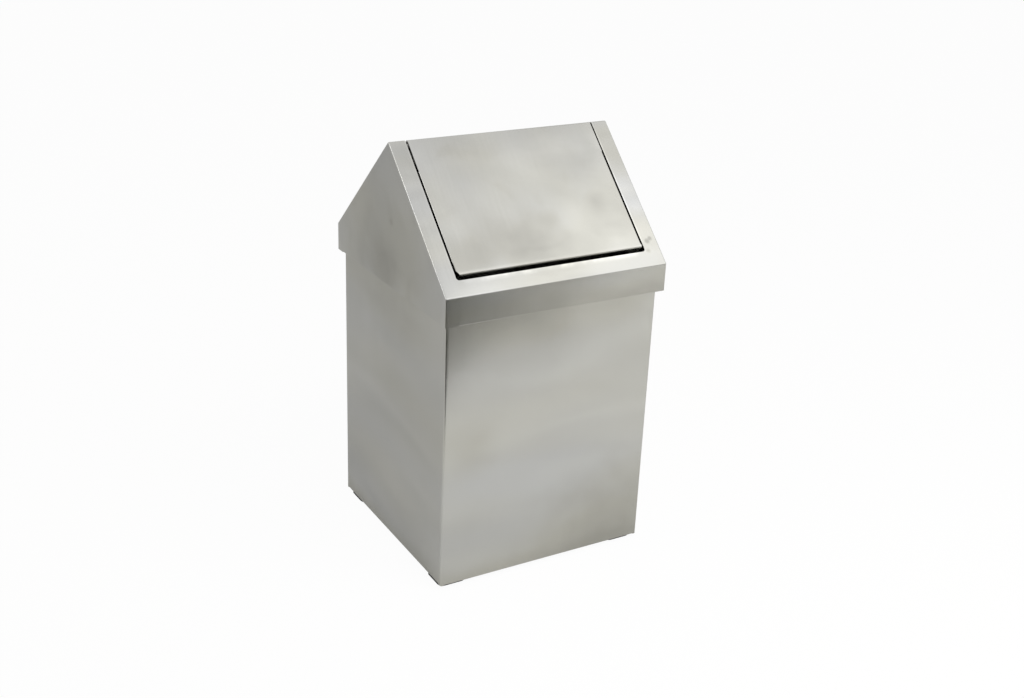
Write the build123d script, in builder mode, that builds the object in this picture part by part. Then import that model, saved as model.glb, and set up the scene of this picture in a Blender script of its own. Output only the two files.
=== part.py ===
from build123d import *
from math import acos, atan2, cos, hypot, sin, tan
import os

# Countertop waste bin of folded stainless sheet. A nearly square can carries a
# lift-off hood with a pitched roof, and a folded flap closes the window that
# runs over the hood's ridge. The flap hangs on two pivot screws and swings
# both ways. Millimetres: X runs along the ridge, the front faces -Y, Z is up,
# and the origin is on the floor, midway between the four feet.

# ---------------------------------------------------------------- sheet
sheet = 0.8                  # stainless sheet of can, hood and flap
bend = 1.4                   # outer radius of the folds
roof_edge_round = 0.6        # weld between roof and gable, ground round
flap_edge_round = 0.5        # flap's side folds

# ---------------------------------------------------------------- can
body_width = 154.0
body_depth = 151.2
body_height = 192.7          # bottom edge to rim
base_clearance = 3.3         # bottom edge above the floor
rim_flange = 7.0             # rim turned inwards
rim_hem = 4.0                # and folded back underneath
rim_round = 1.0              # fold between wall and rim
mitre_gap = 0.4              # slit where two rim flanges meet
bottom_hem = 3.2             # bottom edge folded up inside
seam_gap = 0.3               # butt seam down the back
strap_width = 24.0           # strap welded behind the seam
strap_gap = 0.6              # strap's ends to pan flange and rim
pan_flange = 12.0            # base pan's upturned sides
pan_relief = 3.0             # open corners of the pan
weld_fit = 0.1               # slip fit of the pan in the can

# ---------------------------------------------------------------- feet
foot_side = 20.0             # square pads
foot_corner = 4.0
foot_side_inset = 1.5        # pad's edge from the can's sides
foot_front_inset = 3.9       # pad's edge from the can's front and back
foot_pad_height = 3.1        # pad, just below the can's bottom edge
foot_neck_side = 15.6        # neck from pad to base pan, clear of the can's hem
foot_chamfer = 0.5
foot_bore_radius = 5.0       # recess for the rivet head
foot_bore_depth = 3.4
rivet_radius = 2.0
rivet_fit = 0.1
rivet_head_radius = 4.0
rivet_head_height = 1.2
rivet_head_round = 0.8
rivet_tail_radius = 3.1
rivet_tail_height = 1.5
rivet_tail_round = 0.6
foot_washer_radius = 4.6
foot_washer_thickness = 0.8

# ---------------------------------------------------------------- hood
side_overhang = 3.0          # hood's gables beyond the can's sides
front_overhang = 4.95        # hood's skirts beyond the can's front and back
skirt_overlap = 9.0          # skirt below the can's rim
skirt_height = 18.6          # skirt's lower edge to eave
roof_rise = 75.9             # eave to ridge
skirt_hem = 5.0              # lower edges folded up inside
gable_flange = 8.0           # gable edges turned in under the roof
flange_relief = 3.0          # gaps in those flanges at the folds
window_margin = 11.75        # roof left beside the window
window_sill = 10.95          # roof left below the window, up the slope from the eave
window_corner = 2.0

# seat rails, welded inside the skirt, that stand on the can's rim
rail_leg = 6.5
rail_lip = 6.0               # lip that drops inside the rim
rail_fit = 0.7               # lip to rim
rail_bend = 1.2
rail_lip_bend = 0.6
rail_corner_gap = 1.0

# ---------------------------------------------------------------- flap
side_gap = 1.1               # flap to the window's sides
sill_gap = 2.75              # flap to the window's lower edge
flap_lip = 8.0               # lower edges folded in
flap_flange = 8.0            # side edges folded in
flap_flange_start = 24.0     # ridge to the side flange, down the slope
flap_notch = 0.5             # side flange to lip

# ---------------------------------------------------------------- pivot
pivot_drop = 16.0            # pivot axis below the ridge
plate = 1.2                  # hangers and brackets
plate_bend = 1.8             # outer radius of the brackets' folds
hanger_boss = 6.5            # radius of the hanger round the pivot
hanger_half = 11.3           # hanger's half width at the flap
hanger_tab = 6.0             # tabs welded under the flap
hanger_apex_gap = 3.0        # ridge to the tabs
bracket_gap = 1.85           # flap's side to bracket
bracket_half = 8.0
bracket_wing = 7.0           # height of the bracket's wings and feet
bracket_foot = 7.0
stop_drop = 9.0              # pivot axis to the stop tab
stop_half = 3.0
stop_reach = 3.7
shoulder_radius = 2.5
running_fit = 0.05
thread_radius = 2.0
thread_fit = 0.1
thread_length = 5.6
screw_head_radius = 4.5
screw_head_height = 2.5
screw_head_round = 0.5
screw_socket_radius = 1.75
screw_socket_depth = 1.4
pivot_play = 0.25            # end play each side of the bush
pivot_washer_radius = 5.0
pivot_washer_thickness = 1.0
bush_radius = 3.5
bush_flange_radius = 5.5
bush_flange_thickness = 1.0
nut_flats = 7.0              # across flats
nut_height = 3.2

# ---------------------------------------------------------------- worked out
inner_width = body_width - 2 * sheet
inner_depth = body_depth - 2 * sheet
rim_top = base_clearance + body_height
pan_floor = base_clearance + bottom_hem
pan_width = inner_width - 2 * weld_fit
pan_depth = inner_depth - 2 * weld_fit
foot_x = body_width / 2 - foot_side_inset - foot_side / 2
foot_y = body_depth / 2 - foot_front_inset - foot_side / 2
foot_places = [(sx * foot_x, sy * foot_y) for sx in (-1, 1) for sy in (-1, 1)]

hood_width = body_width + 2 * side_overhang
hood_depth = body_depth + 2 * front_overhang
skirt_bottom = rim_top - skirt_overlap
eave = skirt_bottom + skirt_height
ridge = eave + roof_rise
gable_inside = hood_width / 2 - sheet
skirt_inside = hood_depth / 2 - sheet
pitch = atan2(roof_rise, hood_depth / 2)      # roof's slope

window_half = hood_width / 2 - window_margin
window_reach = hypot(hood_depth / 2, roof_rise) - window_sill    # down the slope
flap_half = window_half - side_gap
flap_reach = window_reach - sill_gap
pivot_z = ridge - pivot_drop
hanger_outer = flap_half - sheet
hanger_inner = hanger_outer - plate
bracket_inner = flap_half + bracket_gap
bracket_outer = bracket_inner + plate
bracket_bottom = pivot_z - stop_drop - plate
washer_inner = bracket_inner - pivot_washer_thickness
bush_outer = washer_inner - pivot_play
bush_inner = hanger_inner - bush_flange_thickness
shoulder_end = bush_inner - pivot_play

front_slope = Plane((0, 0, ridge), x_dir=(1, 0, 0), z_dir=(0, -sin(pitch), cos(pitch)))
back_slope = Plane((0, 0, ridge), x_dir=(-1, 0, 0), z_dir=(0, sin(pitch), cos(pitch)))


def ring(width, depth, wall, corner):
    """Sketch a rectangular ring: outer size, wall and outer corner radius."""
    RectangleRounded(width, depth, corner)
    if corner > wall:
        RectangleRounded(width - 2 * wall, depth - 2 * wall, corner - wall, mode=Mode.SUBTRACT)
    else:
        Rectangle(width - 2 * wall, depth - 2 * wall, mode=Mode.SUBTRACT)


def folded(points, radius, thickness, side):
    """Sketch the section of a sheet folded along points, its thickness to one side."""
    with BuildLine() as section:
        FilletPolyline(*points, radius=radius)
        offset(amount=thickness, side=side)
    make_face(section.edges())


def roof_point(reach, inset, side):
    """Point (y, z) at a distance down the slope and below the roof's outer face."""
    y = reach * cos(pitch) - inset * sin(pitch)
    z = ridge - reach * sin(pitch) - inset * cos(pitch)
    return side * y, z


def roof_z(y, inset):
    """Height of the roof's face, set in by inset, at a distance y from the ridge."""
    return ridge - inset / cos(pitch) - y * tan(pitch)


def hood_section(inset, bottom):
    """Points (y, z) of the hood's outline from front skirt over the ridge to back skirt."""
    y = hood_depth / 2 - inset
    z = roof_z(y, inset)
    return [(-y, bottom), (-y, z), (0, roof_z(0, inset)), (y, z), (y, bottom)]


def outer_side_edges(part, half_width):
    """Straight edges of a folded sheet's outer face where it ends at x = half_width."""
    def on_outer_face(edge):
        middle = edge @ 0.5
        to_skirt = hood_depth / 2 - abs(middle.Y)
        to_roof = (roof_z(abs(middle.Y), 0) - middle.Z) * cos(pitch)
        return abs(abs(middle.X) - half_width) < sheet / 4 and min(to_skirt, to_roof) < sheet / 4
    return part.edges().filter_by(GeomType.LINE).filter_by(on_outer_face)


def finish(piece, name):
    """Label a finished piece and write its STEP file."""
    piece.part.label = name
    export_step(piece.part, f"parts/{name}.step")
    solids = piece.part.solids()
    print(f"{name:22s} {len(solids)} solid(s) {piece.part.volume:10.1f} mm3")


def finish_pair(piece, stem):
    """Write a piece made on the right, and its mirror image on the left."""
    finish(piece, f"{stem}_right")
    with BuildPart() as mirrored:
        mirror(piece.part, about=Plane.YZ)
    finish(mirrored, f"{stem}_left")


os.makedirs("parts", exist_ok=True)

# ================================================================ can
with BuildPart() as body_wrap:
    with BuildSketch(Plane.XY.offset(base_clearance)):
        ring(body_width, body_depth, sheet, bend)
    extrude(amount=body_height)
    with BuildSketch(Plane.XY.offset(rim_top)):
        ring(body_width, body_depth, rim_flange, bend)
    extrude(amount=-sheet)
    fillet(body_wrap.faces().sort_by(Axis.Z)[-1].outer_wire().edges(), radius=rim_round)
    # rim's edge folded back under itself
    with BuildSketch(Plane.XY.offset(rim_top - sheet)):
        hem_set_back = 2 * (rim_flange - rim_hem)
        ring(body_width - hem_set_back, body_depth - hem_set_back, rim_hem, sheet)
    extrude(amount=-sheet)
    # bottom edge folded up inside
    with BuildSketch(Plane.XY.offset(base_clearance)):
        ring(inner_width, inner_depth, sheet, bend - sheet)
    extrude(amount=bottom_hem)
    # slits where the rim's four flanges meet
    with BuildSketch(Plane.XY.offset(rim_top)):
        for sx, sy in [(-1, -1), (-1, 1), (1, -1), (1, 1)]:
            middle = (rim_flange + bend) / 2
            with Locations((sx * (body_width / 2 - middle), sy * (body_depth / 2 - middle))):
                Rectangle(mitre_gap, 1.5 * (rim_flange - bend), rotation=-sx * sy * 45)
    extrude(amount=-2 * sheet, mode=Mode.SUBTRACT)
    # butt seam down the middle of the back
    with BuildSketch(Plane.XY.offset(base_clearance)):
        with Locations((0, body_depth / 2 - rim_flange / 2)):
            Rectangle(seam_gap, 2 * rim_flange)
    extrude(amount=body_height, mode=Mode.SUBTRACT)
finish(body_wrap, "body_wrap")

with BuildPart() as seam_strap:
    strap_bottom = pan_floor + pan_flange + strap_gap
    with BuildSketch(Plane.XY.offset(strap_bottom)):
        with Locations((0, inner_depth / 2 - sheet / 2)):
            Rectangle(strap_width, sheet)
    extrude(amount=rim_top - 2 * sheet - strap_gap - strap_bottom)
finish(seam_strap, "seam_strap")

with BuildPart() as base_pan:
    with BuildSketch(Plane.XY.offset(pan_floor)):
        ring(pan_width, pan_depth, sheet, bend)
        with GridLocations(pan_width, pan_depth, 2, 2):
            Rectangle(2 * pan_relief, 2 * pan_relief, mode=Mode.SUBTRACT)
    extrude(amount=pan_flange)
    with BuildSketch(Plane.XY.offset(pan_floor)):
        RectangleRounded(pan_width, pan_depth, bend)
        with Locations(*foot_places):
            Circle(rivet_radius + rivet_fit, mode=Mode.SUBTRACT)
    extrude(amount=sheet)
finish(base_pan, "base_pan")

# ================================================================ feet
for name, (sx, sy) in {
    "foot_front_left": (-1, -1),
    "foot_front_right": (1, -1),
    "foot_back_left": (-1, 1),
    "foot_back_right": (1, 1),
}.items():
    with BuildPart() as foot:
        with BuildSketch():
            with Locations((sx * foot_x, sy * foot_y)):
                RectangleRounded(foot_side, foot_side, foot_corner)
        extrude(amount=foot_pad_height)
        chamfer(foot.edges().group_by(Axis.Z)[0], length=foot_chamfer)
        with BuildSketch(Plane.XY.offset(foot_pad_height)):
            with Locations((sx * foot_x, sy * foot_y)):
                RectangleRounded(foot_neck_side, foot_neck_side, foot_corner)
        extrude(amount=pan_floor - foot_pad_height)
        with BuildSketch():
            with Locations((sx * foot_x, sy * foot_y)):
                Circle(foot_bore_radius)
        extrude(amount=foot_bore_depth, mode=Mode.SUBTRACT)
        with Locations((sx * foot_x, sy * foot_y, pan_floor)):
            Hole(rivet_radius + rivet_fit)
    finish(foot, name)

washer_top = pan_floor + sheet + foot_washer_thickness
with BuildPart() as foot_rivets:
    with BuildSketch(Plane.XY.offset(foot_bore_depth)):
        with Locations(*foot_places):
            Circle(rivet_head_radius)
    extrude(amount=-rivet_head_height)
    fillet(foot_rivets.edges().group_by(Axis.Z)[0], radius=rivet_head_round)
    with BuildSketch(Plane.XY.offset(washer_top)):
        with Locations(*foot_places):
            Circle(rivet_tail_radius)
    extrude(amount=rivet_tail_height)
    fillet(foot_rivets.edges().group_by(Axis.Z)[-1], radius=rivet_tail_round)
    with BuildSketch(Plane.XY.offset(foot_bore_depth)):
        with Locations(*foot_places):
            Circle(rivet_radius)
    extrude(amount=washer_top - foot_bore_depth)
finish(foot_rivets, "foot_rivets")

with BuildPart() as foot_washers:
    with BuildSketch(Plane.XY.offset(pan_floor + sheet)):
        with Locations(*foot_places):
            Circle(foot_washer_radius)
            Circle(rivet_radius + rivet_fit, mode=Mode.SUBTRACT)
    extrude(amount=foot_washer_thickness)
finish(foot_washers, "foot_washers")

# ================================================================ hood
with BuildPart() as hood_roof:
    with BuildSketch(Plane.YZ):
        folded(hood_section(0, skirt_bottom), bend, sheet, Side.RIGHT)
    extrude(amount=hood_width / 2, both=True)
    fillet(outer_side_edges(hood_roof.part, hood_width / 2), radius=roof_edge_round)
    # lower edges folded up inside, between the gables' flanges
    with BuildSketch(Plane.XY.offset(skirt_bottom)):
        with Locations((0, sheet / 2 - skirt_inside), (0, skirt_inside - sheet / 2)):
            Rectangle(2 * (gable_inside - gable_flange - weld_fit), sheet)
    extrude(amount=skirt_hem)
    # window over the ridge
    for slope in (front_slope, back_slope):
        with BuildSketch(slope) as window:
            with Locations((0, window_corner - window_reach / 2)):
                Rectangle(2 * window_half, window_reach + 2 * window_corner)
            fillet(window.vertices().group_by(Axis.Y)[0], radius=window_corner)
        extrude(amount=3 * sheet, both=True, mode=Mode.SUBTRACT)
finish(hood_roof, "hood_roof")

with BuildPart() as gable:
    with BuildSketch(Plane.YZ.offset(gable_inside)):
        with BuildLine():
            outline = FilletPolyline(*hood_section(sheet, skirt_bottom), radius=bend - sheet)
            Line(outline @ 1, outline @ 0)
        make_face()
    extrude(amount=sheet)
    with BuildSketch(Plane.YZ.offset(gable_inside)):
        folded(hood_section(sheet, skirt_bottom), bend - sheet / 2, sheet, Side.RIGHT)
    extrude(amount=-gable_flange)
    # flanges open at the folds and above the roof's hem
    with BuildSketch(Plane.YZ.offset(gable_inside)):
        with Locations(*hood_section(sheet, skirt_bottom)[1:4]):
            Circle(flange_relief)
    extrude(amount=-gable_flange, mode=Mode.SUBTRACT)
    # lower edge folded up inside
    with BuildSketch(Plane.XY.offset(skirt_bottom)):
        with Locations((gable_inside - sheet / 2, 0)):
            Rectangle(sheet, 2 * (skirt_inside - gable_flange))
    extrude(amount=skirt_hem)
finish_pair(gable, "gable")

# ---------------------------------------------------------------- seat rails
lip_x = body_width / 2 - rim_flange - rail_fit
lip_y = body_depth / 2 - rim_flange - rail_fit
rail_half_x = gable_inside - gable_flange - rail_corner_gap
rail_half_y = lip_y - sheet - rail_corner_gap


def rail_section(wall, lip):
    """Points (out, z) of a rail from the hood's wall over the rim to its lip."""
    return [
        (-wall, rim_top + rail_leg),
        (-wall, rim_top),
        (-lip, rim_top),
        (-lip, rim_top - rail_lip),
    ]


with BuildPart() as seat_rail_front:
    with BuildSketch(Plane.YZ):
        folded(rail_section(skirt_inside, lip_y), [rail_bend, rail_lip_bend], sheet, Side.LEFT)
    extrude(amount=rail_half_x, both=True)
    # lip shortened to drop between the can's corners
    with BuildSketch(Plane.XY.offset(rim_top - rail_lip)):
        with GridLocations(2 * rail_half_x, 0, 2, 1):
            with Locations((0, sheet - lip_y)):
                Rectangle(2 * (rail_half_x - lip_x + rail_corner_gap), 4 * sheet)
    extrude(amount=rail_lip, mode=Mode.SUBTRACT)
finish(seat_rail_front, "seat_rail_front")

with BuildPart() as seat_rail_back:
    mirror(seat_rail_front.part, about=Plane.XZ)
finish(seat_rail_back, "seat_rail_back")

with BuildPart() as seat_rail:
    with BuildSketch(Plane.XZ):
        folded(rail_section(gable_inside, lip_x), [rail_bend, rail_lip_bend], sheet, Side.LEFT)
    extrude(amount=rail_half_y, both=True)
    mirror(about=Plane.YZ, mode=Mode.REPLACE)
finish_pair(seat_rail, "seat_rail")

# ---------------------------------------------------------------- brackets
with BuildPart() as pivot_bracket:
    foot_end = bracket_half + plate + bracket_foot
    with BuildSketch(Plane.XY.offset(bracket_bottom)):
        hat = [
            (gable_inside, -foot_end),
            (gable_inside, -bracket_half),
            (bracket_outer, -bracket_half),
            (bracket_outer, bracket_half),
            (gable_inside, bracket_half),
            (gable_inside, foot_end),
        ]
        folded(hat, plate_bend, plate, Side.LEFT)
    extrude(amount=bracket_wing)
    # eye that holds the pivot screw
    with BuildSketch(Plane.YZ.offset(bracket_inner)):
        with Locations((0, pivot_z)):
            Circle(bracket_half)
        with Locations((0, (bracket_bottom + pivot_z) / 2)):
            Rectangle(2 * bracket_half, pivot_z - bracket_bottom)
    extrude(amount=plate)
    # stop tab that the hanger meets at the end of its swing
    with BuildSketch(Plane.YZ.offset(bracket_inner)):
        with Locations((0, bracket_bottom + plate / 2)):
            Rectangle(2 * stop_half, plate)
    extrude(amount=-stop_reach)
    with BuildSketch(Plane.YZ.offset(bracket_inner)):
        with Locations((0, pivot_z)):
            Circle(thread_radius + thread_fit)
    extrude(amount=plate, mode=Mode.SUBTRACT)
finish_pair(pivot_bracket, "pivot_bracket")

# ---------------------------------------------------------------- pivot hardware
with BuildPart() as pivot_screw:
    with BuildSketch(Plane.YZ.offset(shoulder_end - screw_head_height)):
        with Locations((0, pivot_z)):
            Circle(screw_head_radius)
    extrude(amount=screw_head_height)
    fillet(pivot_screw.edges().group_by(Axis.X)[0], radius=screw_head_round)
    with BuildSketch(Plane.YZ.offset(shoulder_end - screw_head_height)):
        with Locations((0, pivot_z)):
            RegularPolygon(screw_socket_radius, 6)
    extrude(amount=screw_socket_depth, mode=Mode.SUBTRACT)
    with BuildSketch(Plane.YZ.offset(shoulder_end)):
        with Locations((0, pivot_z)):
            Circle(shoulder_radius)
    extrude(amount=bracket_inner - shoulder_end)
    with BuildSketch(Plane.YZ.offset(bracket_inner)):
        with Locations((0, pivot_z)):
            Circle(thread_radius)
    extrude(amount=thread_length)
    chamfer(pivot_screw.edges().group_by(Axis.X)[-1], length=thread_fit)
finish_pair(pivot_screw, "pivot_screw")

with BuildPart() as pivot_washers:
    with BuildSketch(Plane.YZ.offset(washer_inner)):
        with Locations((0, pivot_z)):
            Circle(pivot_washer_radius)
            Circle(shoulder_radius + thread_fit, mode=Mode.SUBTRACT)
    extrude(amount=pivot_washer_thickness)
    mirror(about=Plane.YZ)
finish(pivot_washers, "pivot_washers")

with BuildPart() as pivot_nuts:
    with BuildSketch(Plane.YZ.offset(bracket_outer)):
        with Locations((0, pivot_z)):
            RegularPolygon(nut_flats / 2, 6, major_radius=False)
            Circle(thread_radius + running_fit, mode=Mode.SUBTRACT)
    extrude(amount=nut_height)
    mirror(about=Plane.YZ)
finish(pivot_nuts, "pivot_nuts")

# ================================================================ flap
with BuildPart() as flap_panel:
    with BuildSketch(Plane.YZ):
        fold_line = [
            roof_point(flap_reach, flap_lip, -1),
            roof_point(flap_reach, 0, -1),
            (0, ridge),
            roof_point(flap_reach, 0, 1),
            roof_point(flap_reach, flap_lip, 1),
        ]
        folded(fold_line, bend, sheet, Side.RIGHT)
    extrude(amount=flap_half, both=True)
    # side edges folded in, from clear of the pivot down to the lips
    with BuildSketch(Plane.YZ.offset(flap_half - sheet)):
        flange_end = flap_reach - sheet - flap_notch
        for side in (-1, 1):
            Polygon(
                roof_point(flap_flange_start, sheet / 2, side),
                roof_point(flange_end, sheet / 2, side),
                roof_point(flange_end, flap_flange, side),
                roof_point(flap_flange_start, flap_flange, side),
                align=None,
            )
    flanges = extrude(amount=sheet)
    mirror(flanges, about=Plane.YZ)
    fillet(outer_side_edges(flap_panel.part, flap_half), radius=flap_edge_round)
finish(flap_panel, "flap_panel")

with BuildPart() as hanger:
    with BuildSketch(Plane.YZ.offset(hanger_inner)):
        top = roof_z(hanger_half, sheet)
        # edges tangent to the boss, up to the flap
        rise = top - pivot_z
        lean = atan2(rise, hanger_half) - acos(hanger_boss / hypot(hanger_half, rise))
        touch_y = hanger_boss * cos(lean)
        touch_z = pivot_z + hanger_boss * sin(lean)
        with Locations((0, pivot_z)):
            Circle(hanger_boss)
        Polygon(
            roof_point(hanger_apex_gap, sheet, -1),
            (-hanger_half, top),
            (-touch_y, touch_z),
            (touch_y, touch_z),
            (hanger_half, top),
            roof_point(hanger_apex_gap, sheet, 1),
            align=None,
        )
    extrude(amount=plate)
    # tabs folded in and welded under the flap, each side of its ridge
    tab_end = hanger_half / cos(pitch) + sheet * tan(pitch)
    with BuildSketch(Plane.YZ.offset(hanger_outer)):
        for side in (-1, 1):
            Polygon(
                roof_point(hanger_apex_gap, sheet, side),
                roof_point(tab_end, sheet, side),
                roof_point(tab_end, sheet + plate, side),
                roof_point(hanger_apex_gap, sheet + plate, side),
                align=None,
            )
    extrude(amount=-plate - hanger_tab)
    with BuildSketch(Plane.YZ.offset(hanger_inner)):
        with Locations((0, pivot_z)):
            Circle(bush_radius)
    extrude(amount=plate, mode=Mode.SUBTRACT)
finish_pair(hanger, "hanger")

with BuildPart() as pivot_bush:
    with BuildSketch(Plane.YZ.offset(bush_inner)):
        with Locations((0, pivot_z)):
            Circle(bush_flange_radius)
    extrude(amount=bush_flange_thickness)
    with BuildSketch(Plane.YZ.offset(bush_inner)):
        with Locations((0, pivot_z)):
            Circle(bush_radius)
    extrude(amount=bush_outer - bush_inner)
    with BuildSketch(Plane.YZ.offset(bush_inner)):
        with Locations((0, pivot_z)):
            Circle(shoulder_radius + running_fit)
    extrude(amount=bush_outer - bush_inner, mode=Mode.SUBTRACT)
finish_pair(pivot_bush, "pivot_bush")
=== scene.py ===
from math import atan2, cos, hypot, pi, radians, sin, tan

import bmesh
import bpy
from mathutils import Euler, Matrix, Vector


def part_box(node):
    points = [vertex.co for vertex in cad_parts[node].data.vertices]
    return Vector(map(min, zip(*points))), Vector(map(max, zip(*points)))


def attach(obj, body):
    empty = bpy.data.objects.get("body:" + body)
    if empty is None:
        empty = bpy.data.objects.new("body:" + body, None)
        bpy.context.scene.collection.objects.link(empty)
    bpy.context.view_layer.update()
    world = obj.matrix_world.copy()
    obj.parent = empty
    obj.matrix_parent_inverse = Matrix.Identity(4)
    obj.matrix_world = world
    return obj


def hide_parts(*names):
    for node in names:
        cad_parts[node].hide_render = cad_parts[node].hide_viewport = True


# Looks of a countertop waste bin in brushed stainless sheet: a nearly square
# can, a lift-off hood with a pitched roof, and a flap that swings in the
# hood's window. Metres: X runs along the ridge, the front faces -Y, Z is up.

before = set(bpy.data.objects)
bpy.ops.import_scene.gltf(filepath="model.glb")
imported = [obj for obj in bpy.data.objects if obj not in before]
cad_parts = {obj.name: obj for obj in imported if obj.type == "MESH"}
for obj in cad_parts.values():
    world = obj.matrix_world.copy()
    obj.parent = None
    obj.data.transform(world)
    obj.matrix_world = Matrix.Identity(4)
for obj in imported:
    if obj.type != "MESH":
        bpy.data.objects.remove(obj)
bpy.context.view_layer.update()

X, Y, Z = range(3)
mm = 0.001
tiny = 0.001 * mm                   # points closer than this are welded into one
close = 20 * tiny                   # places closer than this count as the same
square_on = 0.9                     # a face looks along an axis if more of its normal does
edge_on = 0.1                       # and it stands edge on to it if less does

# ---------------------------------------------------------------- camera
camera_place = Vector((-0.42483, -0.73830, 0.48915))
camera_azimuth = radians(-30.764)
camera_elevation = radians(22.907)
camera_roll = radians(2.376)
camera_reach = (0.01, 100.0)        # nearest and farthest that it sees
sensor_width = 36.0                 # millimetres
lens = 47.37                        # millimetres

# ---------------------------------------------------------------- studio
floor_size = 12.0
floor_tone = (0.83, 0.825, 0.80, 1)
floor_white_seen = 0.96             # share of plain white in the floor, as the camera sees it
floor_white_mirrored = 0.15         # and as the steel mirrors it
room_light = 0.46                   # the room's strength where it isn't seen or mirrored
lamp_aim = (0.0, -0.05, 0.20)
key_place = (0.82, -0.899, 1.19)    # large soft box to the right
key_size = 1.05
key_watts = 2.75
fill_place = (-1.21, 0.015, 1.066)  # smaller one to the left
fill_size = 0.4
fill_watts = 1.4
pool_place = (0.12, -0.50, 0.72)    # soft box over the floor in front
pool_size = 0.5
pool_watts = 4.4
flag_width = 0.80                   # dark card that stands low in front
flag_height = 0.15
flag_distance = 0.335
flag_shift = 0.0465                 # along the card, to its right
flag_fade = (0.65, 1.0)             # shares of its width between which it thins out
flag_azimuth = radians(-17.4)
flag_tone = (0.165, 0.165, 0.15, 1)

# ---------------------------------------------------------------- sheet
sheet_wall = 0.8 * mm
bend = 1.4 * mm                     # outer radius of the folds
grid_step = 10 * mm                 # cells that let a sheet dip
hem_gap = 0.3 * mm                  # between a hem's two layers
hem_roundness = 0.98                # hem's fold, as a share of a full round
pressed_roundness = 0.4             # the same for the roof's hems, pressed flatter
hem_relief = 3 * mm                 # can's bottom hem to its corners
rim_flange = 7 * mm
rim_hem = 4 * mm
rim_round = 1 * mm
mitre_gap = 0.4 * mm
bottom_hem = 3.2 * mm
seam_gap = 0.3 * mm
skirt_height = 18.6 * mm
skirt_cuts = (0.35, 0.7)            # level cuts that let it dip, as shares of its height
roof_rise = 75.9 * mm
skirt_hem = 5 * mm
gable_flange = 8 * mm
flange_relief = 3 * mm
weld_fit = 0.1 * mm                 # between the roof's hems and the gables' flanges
window_margin = 11.8 * mm
window_left_ease = 0.45 * mm        # window cut wider at the left
window_sill = 10.80 * mm
window_corner = 2 * mm
sill_gap = 3.20 * mm
flap_lip = 8 * mm
flap_flange = 8 * mm
flap_flange_start = 24 * mm         # ridge to the side flange, down the slope
flap_notch = 1.4 * mm               # side flange to the lip's fold
flap_edge_round = 0.6 * mm
flap_clip = (2.2 * mm, 3.4 * mm)    # corner cut away, along the lip and up the side
roof_edge_round = 0.75 * mm         # weld between roof and gable, ground round
smooth_angle = radians(40)          # edges sharper than this stay sharp

# facets across each kind of round
fold_facets = 5
hem_facets = 3
edge_facets = 3
peak_facets = 4
corner_facets = 6

# depth and width of each sheet's dips
can_dips = (0.7 * mm, 55 * mm)
skirt_dips = (0.35 * mm, 35 * mm)
gable_dips = (0.5 * mm, 50 * mm)
flap_dips = (0.5 * mm, 50 * mm)

# distances from an edge between which a sheet begins to dip
can_foot_slack = (12 * mm, 45 * mm)
can_rim_slack = (4 * mm, 30 * mm)
can_corner_slack = (4 * mm, 32 * mm)
skirt_fold_slack = (2 * mm, skirt_height)
skirt_end_slack = (3 * mm, 25 * mm)
gable_edge_slack = (2 * mm, 25 * mm)
gable_hem_slack = (skirt_hem, 25 * mm)
flap_side_slack = (2 * mm, 25 * mm)
flap_ridge_slack = (4 * mm, 25 * mm)
flap_lip_slack = (3 * mm, 25 * mm)

# ---------------------------------------------------------------- worked out
fold_depth = 2 * sheet_wall + hem_gap
roof_low, roof_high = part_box("hood_roof")
eave = roof_low.z + skirt_height
ridge = eave + roof_rise
pitch = atan2(roof_rise, roof_high.y)
slope_length = hypot(roof_rise, roof_high.y)
window_half = roof_high.x - window_margin
window_reach = slope_length - window_sill
flap_reach = window_reach - sill_gap
flap_flange_end = flap_reach - bend - flap_notch

# ---------------------------------------------------------------- finishes
cool_steel = (0.500, 0.502, 0.496)
warm_steel = (0.505, 0.498, 0.455)
cool_turned = (0.46, 0.46, 0.45)
warm_turned = (0.48, 0.47, 0.45)
rubber = (0.028, 0.028, 0.029)
dusty_rubber = (0.09, 0.088, 0.085)
nylon = (0.74, 0.73, 0.68)
worn_nylon = (0.60, 0.58, 0.52)

sheet_roughness = 0.22
bracket_roughness = 0.30
turned_roughness = 0.28
rubber_roughness = 0.72
nylon_roughness = 0.45

# brushed lines per metre along X, Y and Z: close across the grain, long along it
across = 2200.0
along = 30.0
can_grain = (across, across, along)
hood_grain = (across, along, along)  # the gables and the flap have it too
turned_grain = (3000.0, 400.0, 400.0)
rubber_specks = 900.0               # per metre
nylon_specks = 1500.0

# slow waves of tone and of painted sheen per metre, along X, Y and Z
can_waves = (5.0, 5.0, 19.0)
hood_waves = (9.0, 30.0, 45.0)
gable_waves = (9.0, 14.0, 14.0)
flap_waves = (14.0, 14.0, 14.0)
bracket_waves = (14.0, 14.0, 14.0)
turned_waves = (60.0, 60.0, 60.0)

noise_spread = (0.3, 0.7)           # where most of a noise's values lie
steel_patches = 28.0                # of handling, per metre
moulded_patches = 90.0
grain_depth = 0.018                 # how far the grain lightens and darkens the steel
sheen_depth = 0.045                 # how far the slow painted sheen does
grain_roughness = 0.02              # how far the grain changes the roughness
peel_roughness = 0.06               # how far a moulding's orange peel does
mark_warmth = 0.5                   # how far a full mark takes the tone to the warm one
mark_shade = (1.0, 0.72)            # light left by no mark and by two full ones, the painted shades counted as marks
mark_roughness = 0.01               # what a full mark adds
worn_and_glint_light = 0.18                 # what a convex edge adds to the tone for a setting of 1: worn bright, and at the hood's setting a painted highlight
rubbed_roughness = -0.05

# painted shade along a lower edge, darkest at the edge: the edge's height, how far up it reaches, its
# strength
can_low_edge_shade = (3.3 * mm, 14 * mm, 0.7)
hood_low_edge_shade = (187 * mm, 15 * mm, 1.0)
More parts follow.
